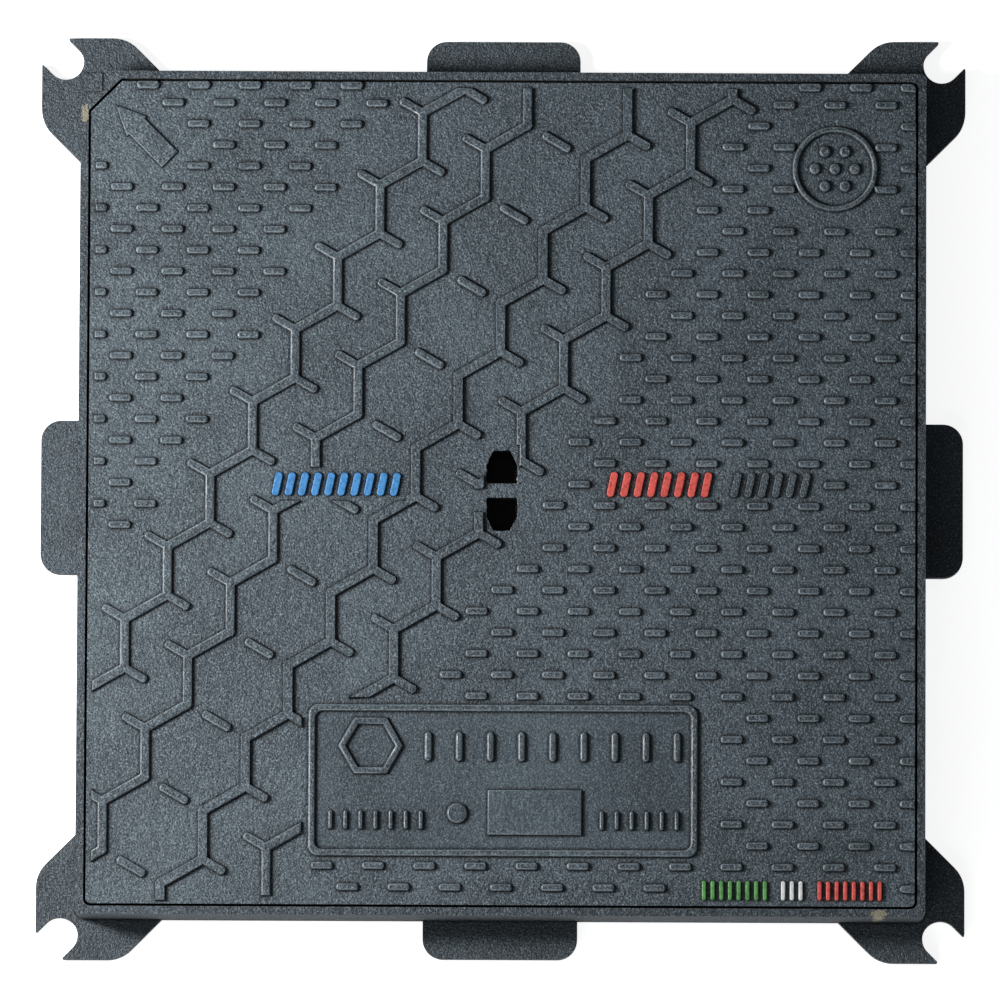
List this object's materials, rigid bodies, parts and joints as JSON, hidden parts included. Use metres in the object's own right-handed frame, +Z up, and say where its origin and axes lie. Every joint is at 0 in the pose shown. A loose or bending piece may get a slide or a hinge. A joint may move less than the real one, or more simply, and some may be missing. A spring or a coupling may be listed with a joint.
{
  "type": "manhole cover",
  "caption": "Square cast-iron manhole cover with a honeycomb and dash tread, lying in a shallow frame with tabs and notched corner lugs; the cover lifts out by a bar between key slots.",
  "frame": {"origin": "centre of the frame's base, on the plane that the frame beds on", "axes": "+Z up, out of the road surface; +Y towards the back edge, whose left corner holds the keyed, cut-off corner; +X to the right"},
  "size_m": [0.601, 0.601, 0.0522],
  "materials": {
    "frame_iron": "black bitumen-type water-based coating over sand-cast ductile iron",
    "cover_iron": "black bitumen-type water-based coating over sand-cast ductile iron",
    "elastomer": "matte moulded",
    "blue_enamel": "satin brushed-on enamel",
    "red_enamel": "satin brushed-on enamel",
    "green_enamel": "satin brushed-on enamel",
    "white_enamel": "satin brushed-on enamel"
  },
  "bodies": {
    "frame_body": {"frame": "frame_iron", "seat_strip_front": "elastomer", "seat_strip_right": "elastomer", "seat_strip_back": "elastomer", "seat_strip_left": "elastomer"},
    "cover_body": {"cover": "cover_iron", "blue_bars": "blue_enamel", "red_bars": "red_enamel", "plain_bars": "cover_iron", "green_bars": "green_enamel", "white_bars": "white_enamel", "small_red_bars": "red_enamel"}
  },
  "joints": [
    {"name": "cover_lift", "type": "slide", "parent": "frame_body", "child": "cover_body", "axis": [0, 0, 1], "range_m": [0, 0.08]}
  ]
}
